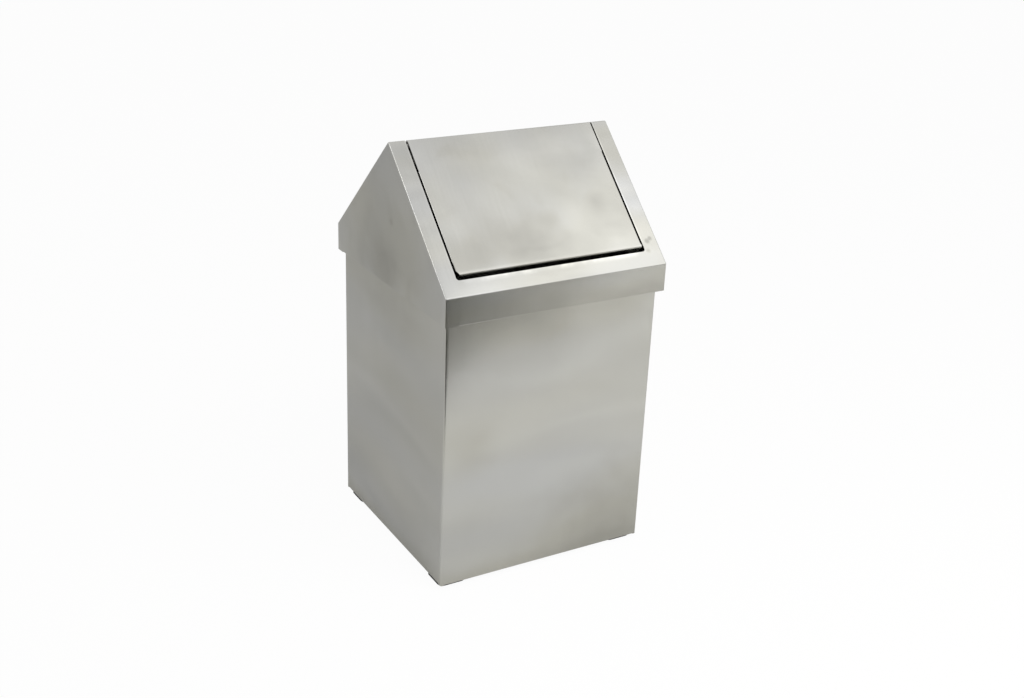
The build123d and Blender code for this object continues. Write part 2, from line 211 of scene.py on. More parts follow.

# smudges and painted shades: x, y, z and radius in millimetres, then strength
can_painted_shades = (
    (60, -76, 0, 95, 1.7),          # painted shade, darker and warmer: front, low at the right
    (-56, -76, 97, 26, 0.5),        # painted shade: front, at mid height by the left corner
    (-8, -77, 192, 40, 0.8),        # three painted shadows under the skirt
    (48, -77, 194, 36, 0.5),
    (-40, -77, 190, 34, 0.6),
    (-77, 5, 188, 90, 1.1),         # painted shade: left wall, under the gable
)
hood_smudges = (
    (-74, -8, 273, 26, 0.9),        # left margin by the ridge
    (74, -14, 268, 32, 0.9),        # right margin by the ridge
    (-8, -75.5, 210.5, 48, 0.7),    # sill
    (72.4, -67.6, 217.8, 2.8, 3.0),  # finger marks, low on the right margin
    (75.2, -66.4, 218.9, 2.4, 2.6),
    (70.5, -72.6, 213.1, 2.4, 1.4),
)
gable_shades_and_marks = (
    (-80, 10, 191, 80, 1.1),        # left one, two painted shades along its lower edge
    (-80, 5, 198, 29, 1.3),
    (-80, -4.6, 231, 4, 0.9),       # a fingertip
)
flap_smudges = (
    (47, -43, 241, 12, 0.7),        # where fingers push, in the middle and to the right
    (9, -49, 235, 11, 0.6),
    (-33, -57, 227, 29, 1.2),       # palms along the lip
    (-56, -64, 220, 26, 1.2),
    (-6, -63, 222, 34, 1.7),
    (26, -66, 219, 28, 0.9),
    (62, -45, 240, 52, 0.8),        # right side
    (45, -12, 270, 50, 0.8),        # two by the ridge
    (-40, -8, 273, 42, 0.5),
)


# ================================================================ node tools
def add_node(tree, kind, place, **values):
    """Add a node at a grid place and set its properties or its unlinked inputs."""
    cell_width, cell_height = 200, -180
    node = tree.nodes.new(kind)
    node.location = (place[0] * cell_width, place[1] * cell_height)
    for key, value in values.items():
        if hasattr(node, key):
            setattr(node, key, value)
        else:
            node.inputs[key.replace("_", " ")].default_value = value
    return node


def link(tree, *pairs):
    for source, target in pairs:
        tree.links.new(source, target)


def new_material(name):
    material = bpy.data.materials.new(name)
    material.use_nodes = True
    material.node_tree.nodes.clear()
    return material, material.node_tree


def new_group(name, inputs, outputs):
    """An empty node group with named sockets: its tree, input node and output node."""
    tree = bpy.data.node_groups.new(name, "ShaderNodeTree")
    for label, kind in inputs.items():
        tree.interface.new_socket(label, in_out="INPUT", socket_type=kind)
    for label, kind in outputs.items():
        tree.interface.new_socket(label, in_out="OUTPUT", socket_type=kind)
    return tree, add_node(tree, "NodeGroupInput", (0, 0)), add_node(tree, "NodeGroupOutput", (9, 0))


def place_group(tree, group, place, point, **values):
    """Put a node group into a material, give it its point and set its inputs."""
    node = add_node(tree, "ShaderNodeGroup", place, node_tree=group, **values)
    link(tree, (point, node.inputs["Point"]))
    return node


def scale_range(tree, place, value, to, over=(0, 1), smooth=False):
    """Map a value from the range it runs over to another, clamped."""
    node = add_node(
        tree, "ShaderNodeMapRange", place, interpolation_type="SMOOTHSTEP" if smooth else "LINEAR",
        From_Min=over[0], From_Max=over[1], To_Min=to[0], To_Max=to[1],
    )
    link(tree, (value, node.inputs["Value"]))
    return node.outputs["Result"]


def calculate(tree, place, operation, *values):
    """A Math node on sockets or plain numbers."""
    node = add_node(tree, "ShaderNodeMath", place, operation=operation)
    for index, value in enumerate(values):
        if isinstance(value, (int, float)):
            node.inputs[index].default_value = value
        else:
            link(tree, (value, node.inputs[index]))
    return node.outputs[0]


def calculate_vector(tree, place, operation, first, second):
    """A Vector Math node on two sockets, the second of them a number for SCALE."""
    node = add_node(tree, "ShaderNodeVectorMath", place, operation=operation)
    other = "Scale" if operation == "SCALE" else 1
    link(tree, (first, node.inputs[0]), (second, node.inputs[other]))
    return node.outputs["Value" if operation == "DISTANCE" else "Vector"]


def noise(tree, place, point, scale, detail=2.0, roughness=0.5, distortion=0.0):
    node = add_node(
        tree, "ShaderNodeTexNoise", place,
        Scale=scale, Detail=detail, Roughness=roughness, Distortion=distortion,
    )
    link(tree, (point, node.inputs["Vector"]))
    return node.outputs["Fac"]


def blend_colours(tree, place, kind, factor, first, second):
    """A colour Mix node; factor and colours are sockets or plain values."""
    node = add_node(tree, "ShaderNodeMix", place, data_type="RGBA", blend_type=kind)
    for name, value in (("Factor_Float", factor), ("A_Color", first), ("B_Color", second)):
        socket = next(s for s in node.inputs if s.identifier == name)
        if isinstance(value, bpy.types.NodeSocket):
            link(tree, (value, socket))
        else:
            socket.default_value = value
    return next(s for s in node.outputs if s.identifier == "Result_Color")


def show_mix(tree, column, share, first, second):
    """End a material with a mix of two shaders, by a share of the second."""
    mix = add_node(tree, "ShaderNodeMixShader", (column, 0))
    output = add_node(tree, "ShaderNodeOutputMaterial", (column + 1, 0))
    link(
        tree,
        (share, mix.inputs[0]),
        (first.outputs[0], mix.inputs[1]),
        (second.outputs[0], mix.inputs[2]),
        (mix.outputs[0], output.inputs["Surface"]),
    )


def show_surface(tree, column, colour, rough, relief, strength, depth, metallic=0.0):
    """End a material with a surface that has a fine relief of some strength and depth."""
    bump = add_node(tree, "ShaderNodeBump", (column - 1, 2), Strength=strength, Distance=depth)
    shader = add_node(tree, "ShaderNodeBsdfPrincipled", (column, 0), Metallic=metallic)
    output = add_node(tree, "ShaderNodeOutputMaterial", (column + 1, 0))
    link(
        tree,
        (relief, bump.inputs["Height"]),
        (bump.outputs["Normal"], shader.inputs["Normal"]),
        (colour, shader.inputs["Base Color"]),
        (rough, shader.inputs["Roughness"]),
        (shader.outputs[0], output.inputs["Surface"]),
    )


# ================================================================ shared effects
def make_grain_group():
    """Brushing: fine and broad lines, thin across and long along."""
    tree, start, end = new_group(
        "brushed_grain",
        {"Point": "NodeSocketVector", "Lines per metre": "NodeSocketVector"},
        {"Lines": "NodeSocketFloat"},
    )
    broad_share = 0.2
    point = calculate_vector(
        tree, (1, 0), "MULTIPLY", start.outputs["Point"], start.outputs["Lines per metre"]
    )
    fine = noise(tree, (3, 0), point, scale=1.0, detail=3.0, roughness=0.65)
    broad = noise(tree, (3, 1), point, scale=0.16)
    fine_part = calculate(tree, (4, 0), "MULTIPLY", fine, 1 - broad_share)
    lines = calculate(tree, (5, 0), "MULTIPLY_ADD", broad, broad_share, fine_part)
    link(tree, (lines, end.inputs["Lines"]))
    return tree


def make_handling_group():
    """Faint wipe marks and finger marks in scattered patches."""
    tree, start, end = new_group(
        "handling_marks",
        {"Point": "NodeSocketVector", "Patches per metre": "NodeSocketFloat"},
        {"Marks": "NodeSocketFloat"},
    )
    point = calculate_vector(
        tree, (1, 0), "SCALE", start.outputs["Point"], start.outputs["Patches per metre"]
    )
    spread = noise(tree, (3, 0), point, scale=1.0, distortion=0.8)
    patches = scale_range(tree, (4, 0), spread, to=(0, 1), over=(0.52, 0.72), smooth=True)
    speckle = noise(tree, (3, 1), point, scale=4.0)
    mottle = scale_range(tree, (4, 1), speckle, to=(0.7, 1), over=(0.35, 0.65))
    link(tree, (calculate(tree, (5, 0), "MULTIPLY", patches, mottle), end.inputs["Marks"]))
    return tree


def make_smudge_and_shade_group():
    """One soft patch round a centre, mottled like a finger or palm mark; some are laid as painted
    shade.
    """
    tree, start, end = new_group(
        "smudge_and_shade",
        {"Point": "NodeSocketVector", "Centre": "NodeSocketVector", "Radius": "NodeSocketFloat"},
        {"Mark": "NodeSocketFloat"},
    )
    raggedness = 0.3                # of its outline, as a share of the radius
    point = start.outputs["Point"]
    distance = calculate_vector(tree, (1, 0), "DISTANCE", point, start.outputs["Centre"])
    share = calculate(tree, (2, 0), "DIVIDE", distance, start.outputs["Radius"])
    ragged = noise(tree, (2, 1), point, scale=55.0, detail=1.0)
    wobbled = calculate(tree, (3, 0), "MULTIPLY_ADD", ragged, raggedness, share)
    soft = scale_range(tree, (4, 0), wobbled, to=(1, 0), over=(0.15, 1.15), smooth=True)
    speckle = noise(tree, (3, 1), point, scale=80.0, detail=1.0)
    mottle = scale_range(tree, (4, 1), speckle, to=(0.9, 1), over=(0.4, 0.6))
    link(tree, (calculate(tree, (5, 0), "MULTIPLY", soft, mottle), end.inputs["Mark"]))
    return tree


def make_wear_group():
    """Convex edges, broken up by noise: worn bright, and on the hood also a painted highlight."""
    tree, start, end = new_group(
        "worn_and_glinting_edges", {"Point": "NodeSocketVector"}, {"Edges": "NodeSocketFloat"}
    )
    shape = add_node(tree, "ShaderNodeNewGeometry", (1, 0))
    edges = scale_range(
        tree, (3, 0), shape.outputs["Pointiness"], to=(0, 1), over=(0.54, 0.62), smooth=True
    )
    breaks = noise(tree, (2, 1), start.outputs["Point"], scale=90.0, detail=3.0)
    broken = scale_range(tree, (3, 1), breaks, to=(0.35, 1), over=(0.4, 0.6))
    link(tree, (calculate(tree, (4, 0), "MULTIPLY", edges, broken), end.inputs["Edges"]))
    return tree


def make_low_edge_group():
    """Painted shade above a lower edge, darkest at the edge, in uneven streaks along it."""
    tree, start, end = new_group(
        "low_edge_painted_shade",
        {"Point": "NodeSocketVector", "Bottom": "NodeSocketFloat", "Reach": "NodeSocketFloat"},
        {"Painted shade": "NodeSocketFloat"},
    )
    unevenness = 0.8                # of its upper limit, as a share of its reach
    point = start.outputs["Point"]
    axes = add_node(tree, "ShaderNodeSeparateXYZ", (1, 0))
    link(tree, (point, axes.inputs[0]))
    rise = calculate(tree, (2, 0), "SUBTRACT", axes.outputs["Z"], start.outputs["Bottom"])
    streaks = noise(tree, (1, 1), point, scale=38.0, detail=1.0)
    uneven = calculate(tree, (2, 1), "MULTIPLY_ADD", streaks, unevenness, -unevenness / 2)
    share = calculate(tree, (3, 1), "DIVIDE", rise, start.outputs["Reach"])
    share = calculate(tree, (3, 0), "ADD", share, uneven)
    painted_low_shade = scale_range(tree, (4, 0), share, to=(1, 0), smooth=True)
    link(tree, (painted_low_shade, end.inputs["Painted shade"]))
    return tree


def make_drift_group():
    """Slow changes across a sheet: of warmth, and of lightness as a painted sheen."""
    tree, start, end = new_group(
        "tone_drift",
        {"Point": "NodeSocketVector", "Waves per metre": "NodeSocketVector"},
        {"Drift": "NodeSocketFloat", "Sheen": "NodeSocketFloat"},
    )
    point = calculate_vector(
        tree, (1, 0), "MULTIPLY", start.outputs["Point"], start.outputs["Waves per metre"]
    )
    waves = noise(tree, (2, 0), point, scale=1.0, detail=1.0)
    shorter_waves = noise(tree, (2, 1), point, scale=1.7, detail=1.0, distortion=0.6)
    drift = scale_range(tree, (3, 0), waves, to=(0, 1), over=noise_spread)
    sheen = scale_range(tree, (3, 1), shorter_waves, to=(0, 1), over=noise_spread)
    link(tree, (drift, end.inputs["Drift"]), (sheen, end.inputs["Sheen"]))
    return tree


# ================================================================ finishes
def finish_steel(
    name, cool, warm, roughness, lines_per_metre, waves_per_metre,
    smudges_and_shades=(), painted_low_shade=None, wear_and_glint=0.5, marks=0.5,
):
    """Brushed stainless: two tones that drift with a painted sheen, grain, finger marks and painted
    shade, and worn edges that also carry a painted highlight.
    """
    material, tree = new_material(name)
    point = add_node(tree, "ShaderNodeTexCoord", (0, 0)).outputs["Object"]
    grain = place_group(tree, grain_group, (1, 0), point, Lines_per_metre=lines_per_metre)
    handling = place_group(tree, handling_group, (1, 1), point, Patches_per_metre=steel_patches)
    edges = place_group(tree, wear_group, (1, 2), point)
    drift = place_group(tree, drift_group, (1, 3), point, Waves_per_metre=waves_per_metre)

    worn_and_glinting = edges.outputs["Edges"]
    # handling marks, summed below with the smudges and painted shades; together they darken, warm and
    # roughen the steel
    marks_and_shade = calculate(tree, (2, 1), "MULTIPLY", handling.outputs["Marks"], marks)
    for row, (x, y, z, radius, strength) in enumerate(smudges_and_shades, start=4):
        smudge_and_shade = place_group(
            tree, smudge_and_shade_group, (1, row), point, Centre=(x * mm, y * mm, z * mm), Radius=radius * mm
        )
        marks_and_shade = calculate(tree, (2, row), "MULTIPLY_ADD", smudge_and_shade.outputs["Mark"], strength, marks_and_shade)
    # painted shade along the lower edge: it darkens and warms the tone like a mark, and keeps the
    # edges from brightening there
    if painted_low_shade:
        bottom, reach, strength = painted_low_shade
        low_edge = place_group(tree, low_edge_group, (1, -1), point, Bottom=bottom, Reach=reach)
        marks_and_shade = calculate(tree, (2, -1), "MULTIPLY_ADD", low_edge.outputs["Painted shade"], strength, marks_and_shade)
        unshaded = calculate(tree, (3, -1), "SUBTRACT", 1.0, low_edge.outputs["Painted shade"])
        worn_and_glinting = calculate(tree, (4, -1), "MULTIPLY", worn_and_glinting, unshaded)

    warmth = calculate(tree, (3, -2), "MULTIPLY_ADD", marks_and_shade, mark_warmth, drift.outputs["Drift"])
    tone = blend_colours(tree, (3, 0), "MIX", warmth, (*cool, 1), (*warm, 1))
    lines = scale_range(
        tree, (3, 1), grain.outputs["Lines"], to=(1 - grain_depth, 1 + grain_depth), over=noise_spread
    )
    sheen = scale_range(
        tree, (3, 2), drift.outputs["Sheen"], to=(1 - sheen_depth, 1 + sheen_depth)
    )
    shade = scale_range(tree, (3, 3), marks_and_shade, to=mark_shade, over=(0, 2))
    light = calculate(tree, (4, 2), "MULTIPLY", lines, sheen)
    light = calculate(tree, (4, 1), "MULTIPLY", light, shade)
    # edges brightened: wear, and where the setting is high a painted highlight
    light = calculate(tree, (4, 3), "MULTIPLY_ADD", worn_and_glinting, worn_and_glint_light * wear_and_glint, light)
    tone = blend_colours(tree, (5, 0), "MULTIPLY", 1.0, tone, light)

    rough = scale_range(
        tree, (4, 5), grain.outputs["Lines"],
        to=(roughness - grain_roughness, roughness + grain_roughness), over=noise_spread,
    )
    rough = calculate(tree, (5, 5), "MULTIPLY_ADD", marks_and_shade, mark_roughness, rough)
    rough = calculate(tree, (6, 5), "MULTIPLY_ADD", worn_and_glinting, rubbed_roughness * wear_and_glint, rough)
    show_surface(
        tree, 7, tone, rough, grain.outputs["Lines"], strength=0.25, depth=0.02 * mm, metallic=1.0
    )
    return material


def finish_moulding(name, tone, dusty, roughness, specks_per_metre):
    """Moulded rubber or nylon: a mottled tone, a dull bloom and a fine orange peel."""
    material, tree = new_material(name)
    point = add_node(tree, "ShaderNodeTexCoord", (0, 0)).outputs["Object"]
    handling = place_group(tree, handling_group, (1, 1), point, Patches_per_metre=moulded_patches)
    edges = place_group(tree, wear_group, (1, 2), point)
    peel = noise(tree, (1, 3), point, scale=specks_per_metre, detail=3.0)
    bloom = calculate(tree, (2, 1), "MAXIMUM", handling.outputs["Marks"], edges.outputs["Edges"])
    colour = blend_colours(tree, (3, 0), "MIX", bloom, (*tone, 1), (*dusty, 1))
    rough = scale_range(
        tree, (3, 1), peel,
        to=(roughness - peel_roughness, roughness + peel_roughness), over=noise_spread,
    )
    show_surface(tree, 4, colour, rough, peel, strength=0.3, depth=0.05 * mm)
    return material


# ================================================================ studio
def aim_camera():
    camera = bpy.data.objects.new("camera", bpy.data.cameras.new("camera"))
    bpy.context.scene.collection.objects.link(camera)
    camera.data.sensor_width = sensor_width
    camera.data.sensor_fit = "HORIZONTAL"
    camera.data.lens = lens
    camera.data.clip_start, camera.data.clip_end = camera_reach
    turn = Euler((pi / 2 - camera_elevation, 0, camera_azimuth), "XYZ").to_matrix()
    turn = turn @ Matrix.Rotation(camera_roll, 3, "Z")
    camera.matrix_world = Matrix.Translation(camera_place) @ turn.to_4x4()
    bpy.context.scene.camera = camera


def lay_floor():
    """Pale floor: nearly plain white where the camera sees it, with the bin's shadow kept."""
    bpy.ops.object.select_all(action="DESELECT")
    bpy.ops.mesh.primitive_plane_add(size=floor_size)
    floor = bpy.context.object
    floor.name = "floor"
    material, tree = new_material("pale_floor")
    path = add_node(tree, "ShaderNodeLightPath", (0, 0)).outputs
    seen = calculate(tree, (1, 0), "MAXIMUM", path["Is Camera Ray"], path["Is Transmission Ray"])
    seen = calculate(tree, (2, 0), "MULTIPLY", seen, floor_white_seen)
    share = calculate(tree, (3, 0), "MULTIPLY_ADD", path["Is Glossy Ray"], floor_white_mirrored, seen)
    paint = add_node(tree, "ShaderNodeBsdfDiffuse", (3, 1), Color=floor_tone)
    white = add_node(tree, "ShaderNodeEmission", (3, 2), Strength=1.0)
    show_mix(tree, 4, share, paint, white)
    floor.data.materials.append(material)


def light_room():
    """A white room where it is seen or mirrored, and a softer one as a lamp."""
    world = bpy.data.worlds.new("studio")
    bpy.context.scene.world = world
    world.use_nodes = True
    tree = world.node_tree
    tree.nodes.clear()
    path = add_node(tree, "ShaderNodeLightPath", (0, 0)).outputs
    seen = calculate(tree, (1, 0), "MAXIMUM", path["Is Camera Ray"], path["Is Transmission Ray"])
    seen = calculate(tree, (2, 0), "MAXIMUM", seen, path["Is Glossy Ray"])
    strength = calculate(tree, (3, 0), "MULTIPLY_ADD", seen, 1.0 - room_light, room_light)
    back = add_node(tree, "ShaderNodeBackground", (4, 0), Color=(1, 1, 1, 1))
    output = add_node(tree, "ShaderNodeOutputWorld", (5, 0))
    link(tree, (strength, back.inputs["Strength"]), (back.outputs[0], output.inputs["Surface"]))


def hang_lamp(name, place, target, size, watts, mirrored=True):
    """A square soft box aimed at a point; the steel may or may not mirror it."""
    data = bpy.data.lights.new(name, "AREA")
    data.shape = "SQUARE"
    data.size = size
    data.energy = watts
    lamp = bpy.data.objects.new(name, data)
    bpy.context.scene.collection.objects.link(lamp)
    lamp.location = place
    lamp.rotation_euler = (Vector(target) - Vector(place)).to_track_quat("-Z", "Y").to_euler()
    lamp.visible_glossy = mirrored


def stand_flag():
    """Dark card low in front of the bin, which only the steel's reflections see."""
    toward = Vector((sin(flag_azimuth), -cos(flag_azimuth), 0))
    rightward = Vector((cos(flag_azimuth), sin(flag_azimuth), 0))
    bpy.ops.object.select_all(action="DESELECT")
    bpy.ops.mesh.primitive_plane_add(size=1.0)
    card = bpy.context.object
    card.name = "lens_flag"
    card.scale = (flag_width, flag_height, 1)
    card.location = toward * flag_distance + rightward * flag_shift + unit(Z) * flag_height / 2
    card.rotation_euler = (pi / 2, 0, flag_azimuth)
    material, tree = new_material("flag_cloth")
    point = add_node(tree, "ShaderNodeTexCoord", (0, 0)).outputs["Object"]
    axes = add_node(tree, "ShaderNodeSeparateXYZ", (1, 0))
    link(tree, (point, axes.inputs[0]))
    # the card's own X runs from -1/2 to 1/2
    fade = [share - 1 / 2 for share in flag_fade]
    thinness = scale_range(tree, (2, 0), axes.outputs["X"], to=(0, 1), over=fade)
    cloth = add_node(tree, "ShaderNodeBsdfDiffuse", (3, 0), Color=flag_tone)
    clear = add_node(tree, "ShaderNodeBsdfTransparent", (3, 1))
    show_mix(tree, 4, thinness, cloth, clear)
    card.data.materials.append(material)
    card.visible_camera = False
    card.visible_diffuse = False
    card.visible_shadow = False


# ================================================================ sheet shop
def unit(axis):
    """Direction of an axis."""
    direction = Vector((0, 0, 0))
    direction[axis] = 1
    return direction


def near(value, target):
    return abs(value - target) < close


def both(edge, test):
    """Whether both ends of an edge pass a test on their place."""
    return all(test(vert.co) for vert in edge.verts)


def at_height(height):
    """A test for edges that lie at a height."""
    return lambda edge: both(edge, lambda point: near(point.z, height))


def level(edge, axis):
    """Whether both ends of an edge are at the same place along an axis."""
    return abs(edge.verts[0].co[axis] - edge.verts[1].co[axis]) < tiny


def middle_of(edge):
    return (edge.verts[0].co + edge.verts[1].co) / 2


def looks_along(face, axis):
    return abs(face.normal[axis]) > square_on


def ramp(value, start, end):
    """0 at start, 1 at end, eased."""
    share = max(0.0, min(1.0, (value - start) / (end - start)))
    return share * share * (3 - 2 * share)


def even_steps(low, high):
    """Places between two ends, about a grid step apart."""
    count = round((high - low) / grid_step)
    return [low + (high - low) * index / count for index in range(1, count)]


def activate(piece):
    bpy.ops.object.select_all(action="DESELECT")
    piece.select_set(True)
    bpy.context.view_layer.objects.active = piece


def start_sheet(name, scale):
    """Name and scale the primitive that was just added, and begin to edit it."""
    sheet = bpy.context.object
    sheet.name = name
    sheet.scale = scale
    bpy.ops.object.transform_apply(location=True, rotation=True, scale=True)
    bpy.ops.object.mode_set(mode="EDIT")
    return sheet


def start_rectangle(name, centre, width, height, turn):
    """A flat rectangle to fold a sheet from, left in edit mode."""
    bpy.ops.object.select_all(action="DESELECT")
    bpy.ops.mesh.primitive_plane_add(size=1, location=centre, rotation=turn)
    return start_sheet(name, (width, height, 1))


def pick(sheet, kind, test):
    """In edit mode, select only the verts, edges or faces that pass a test."""
    bpy.ops.mesh.select_mode(type={"verts": "VERT", "edges": "EDGE", "faces": "FACE"}[kind])
    bpy.ops.mesh.select_all(action="DESELECT")
    mesh = bmesh.from_edit_mesh(sheet.data)
    found = [element for element in getattr(mesh, kind) if test(element)]
    for element in found:
        element.select_set(True)
    bmesh.update_edit_mesh(sheet.data)
    if not found:
        raise ValueError(f"{sheet.name}: nothing to pick")


def pull(*steps):
    """Extrude what is picked, step by step."""
    for step in steps:
        bpy.ops.mesh.extrude_region_move(TRANSFORM_OT_translate={"value": step})


def weld_points():
    bpy.ops.mesh.select_all(action="SELECT")
    bpy.ops.mesh.remove_doubles(threshold=tiny)


def face_outwards():
    bpy.ops.mesh.select_all(action="SELECT")
    bpy.ops.mesh.normals_make_consistent(inside=False)


def cut(sheet, place, normal, test=lambda face: True):
    """Cut the faces that pass a test along a plane."""
    pick(sheet, "faces", test)
    bpy.ops.mesh.bisect(plane_co=place, plane_no=normal, threshold=tiny)


def grid(sheet, axis, low, high):
    """Cut a sheet across an axis at even steps, so that it can bow."""
    for step in even_steps(low, high):
        cut(sheet, unit(axis) * step, unit(axis))


def fold(sheet, radius, turn, test, facets=fold_facets):
    """Round the fold lines that pass a test to an outer radius, where a sheet turns by an angle."""
    pick(sheet, "edges", test)
    bpy.ops.mesh.bevel(
        offset_type="OFFSET", offset=radius * tan(turn / 2), segments=facets, affect="EDGES",
        clamp_overlap=False,
    )


def hem_below(sheet, axis, side, face, bottom, half_width, lip, roundness):
    """Fold a wall's lower edge up inside, by as much as lip, within a half width.

    The wall is on one side of an axis, and face is how far along it the wall stands.
    """
    inward = unit(axis) * -side

    def on_line(point, depth=0.0):
        within = near(point.z, bottom) and abs(point[1 - axis]) < half_width + tiny
        return within and near(side * point[axis], face - depth)

    def at_fold(edge):
        return level(edge, axis) and both(edge, lambda p: on_line(p) or on_line(p, fold_depth))

    pick(sheet, "edges", lambda edge: both(edge, on_line))
    pull(inward * fold_depth, unit(Z) * lip)
    fold(sheet, fold_depth / 2 * roundness, pi / 2, at_fold, hem_facets)


def bow(sheet, dips, sense, slack, direction="NORMAL"):
    """Let a sheet dip softly and unevenly, by as much as slack(place) allows.

    The sense is the sign that takes the dips inwards along the direction.
    """
    depth, width = dips
    bpy.ops.object.mode_set(mode="OBJECT")
    group = sheet.vertex_groups.new(name="slack")
    for vert in sheet.data.vertices:
        group.add([vert.index], max(0.0, min(1.0, slack(vert.co))), "REPLACE")
    clouds = bpy.data.textures.new(f"{sheet.name}_bow", "CLOUDS")
    clouds.noise_scale = width
    clouds.noise_depth = 0
    dip = sheet.modifiers.new("bow", "DISPLACE")
    dip.texture = clouds
    dip.texture_coords = "LOCAL"
    dip.direction = direction
    dip.mid_level = 0.0
    dip.strength = sense * depth
    dip.vertex_group = "slack"
    activate(sheet)
    bpy.ops.object.modifier_apply(modifier=dip.name)
    sheet.vertex_groups.clear()


def thicken(sheet):
    """Give a folded sheet its thickness, inwards from the modelled face."""
    wall = sheet.modifiers.new("wall", "SOLIDIFY")
    wall.thickness = sheet_wall
    wall.offset = -1
    wall.use_even_offset = True
    wall.use_quality_normals = True
    activate(sheet)
    bpy.ops.object.modifier_apply(modifier=wall.name)


def dress(piece, body, slot_name, node, finish=None):
    """Smooth a piece, weigh its normals by its flats, and hand it to its body.

    It gets the finish of its slot, unless another one is named.
    """
    activate(piece)
    bpy.ops.object.shade_smooth_by_angle(angle=smooth_angle)
    flats = piece.modifiers.new("flats", "WEIGHTED_NORMAL")
    flats.keep_sharp = True
    bpy.ops.object.modifier_apply(modifier=flats.name)
    piece.data.materials.clear()
    piece.data.materials.append(finishes[finish or slot_name])
    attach(piece, body)
    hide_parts(node)


# ================================================================ can
def turn_rim(wall, high, axis, side):
    """Turn one wall's top edge in with mitred ends, then fold it down and back under."""
    other = 1 - axis
    inward = unit(axis) * -side
    squeeze = Vector((1, 1, 1))
    squeeze[other] = (high[other] - rim_flange - mitre_gap) / (high[other] - bend)

    def on_line(point, reach=0.0, drop=0.0):
        return near(side * point[axis], high[axis] - reach) and near(point.z, high.z - drop)

    def at_fold(edge):
        lines = both(edge, lambda p: on_line(p, rim_flange) or on_line(p, rim_flange, fold_depth))
        return lines and level(edge, axis) and level(edge, Z)

    pick(wall, "edges", lambda edge: both(edge, on_line))
    pull(inward * bend, inward * (rim_flange - bend))
    bpy.ops.transform.resize(value=squeeze, center_override=(0, 0, 0))
    pull(-unit(Z) * fold_depth, -inward * rim_hem)
    fold(wall, fold_depth / 2 * hem_roundness, pi / 2, at_fold, hem_facets)


def close_rim_corner(wall, high, side_x, side_y):
    """Close the rim over one corner's fold."""
    def over_fold(point):
        in_x = side_x * point.x > high.x - bend - tiny
        in_y = side_y * point.y > high.y - bend - tiny
        return in_x and in_y and near(point.z, high.z)

    pick(wall, "edges", lambda edge: edge.is_boundary and both(edge, over_fold))
    bpy.ops.mesh.edge_face_add()


def fold_can_wall():
    """The can's wrap: four walls, a rim turned in and back under, and a hem below."""
    low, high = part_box("body_wrap")
    bpy.ops.object.select_all(action="DESELECT")
    bpy.ops.mesh.primitive_cube_add(size=1, location=(low + high) / 2)
    wall = start_sheet("can_wall", high - low)
    pick(wall, "faces", lambda face: looks_along(face, Z))
    bpy.ops.mesh.delete(type="FACE")
    for axis in (X, Y, Z):
        grid(wall, axis, low[axis], high[axis])
    for axis in (X, Y):
        for side in (-1, 1):
            cut(wall, unit(axis) * side * (high[axis] - hem_relief), unit(axis))
    for side in (-1, 1):
        cut(wall, unit(X) * side * seam_gap / 2, unit(X), lambda face: face.normal.y > square_on)

    def at_corner(point):
        return near(abs(point.x), high.x) and near(abs(point.y), high.y)

    fold(wall, bend, pi / 2, lambda edge: both(edge, at_corner))
    for axis in (X, Y):
        for side in (-1, 1):
            half_width = high[1 - axis] - hem_relief
            turn_rim(wall, high, axis, side)
            hem_below(wall, axis, side, high[axis], low.z, half_width, bottom_hem, hem_roundness)
    weld_points()
    for side_x in (-1, 1):
        for side_y in (-1, 1):
            close_rim_corner(wall, high, side_x, side_y)
    face_outwards()

    def on_outer_rim(edge):
        walls = [face for face in edge.link_faces if not looks_along(face, Z)]
        on_top = both(edge, lambda p: near(p.z, high.z))
        return on_top and len(edge.link_faces) == 2 and len(walls) == 1

    fold(wall, rim_round, pi / 2, on_outer_rim, edge_facets)

    # butt seam down the back
    def in_seam(face):
        middle = face.calc_center_median()
        return abs(middle.x) < seam_gap / 2 and middle.y > 0

    pick(wall, "faces", in_seam)
    bpy.ops.mesh.delete(type="FACE")

    def slack(point):
        height = ramp(point.z - low.z, *can_foot_slack) * ramp(high.z - point.z, *can_rim_slack)
        side_x = ramp(high.x - abs(point.x), *can_corner_slack)
        side_y = ramp(high.y - abs(point.y), *can_corner_slack)
        return height * max(side_x, side_y)

    bow(wall, can_dips, -1, slack)
    thicken(wall)
    return wall


# ================================================================ hood
def on_slope(reach, inset, side):
    """Point at a distance down the slope and below the roof's outer face."""
    y = reach * cos(pitch) - inset * sin(pitch)
    return Vector((0, side * y, ridge - reach * sin(pitch) - inset * cos(pitch)))


def down_slope(side):
    return Vector((0, side * cos(pitch), -sin(pitch)))


def under_slope(side):
    """Direction from the roof's outer face into the hood."""
    return Vector((0, -side * sin(pitch), -cos(pitch)))


def from_ridge(point):
    """How far down the slope a point of its face is."""
    return abs(point.y) / cos(pitch)


def drop_below(point, top):
    """How far a point is, straight down, from two slopes that meet at a height."""
    return top - abs(point.y) * tan(pitch) - point.z


def cut_slopes(sheet, *reaches):
    """Cut both slopes level, at distances down from the ridge."""
    for side in (-1, 1):
        for reach in reaches:
            place = on_slope(reach, 0, side)
            cut(sheet, place, down_slope(side), lambda face: not looks_along(face, Y))


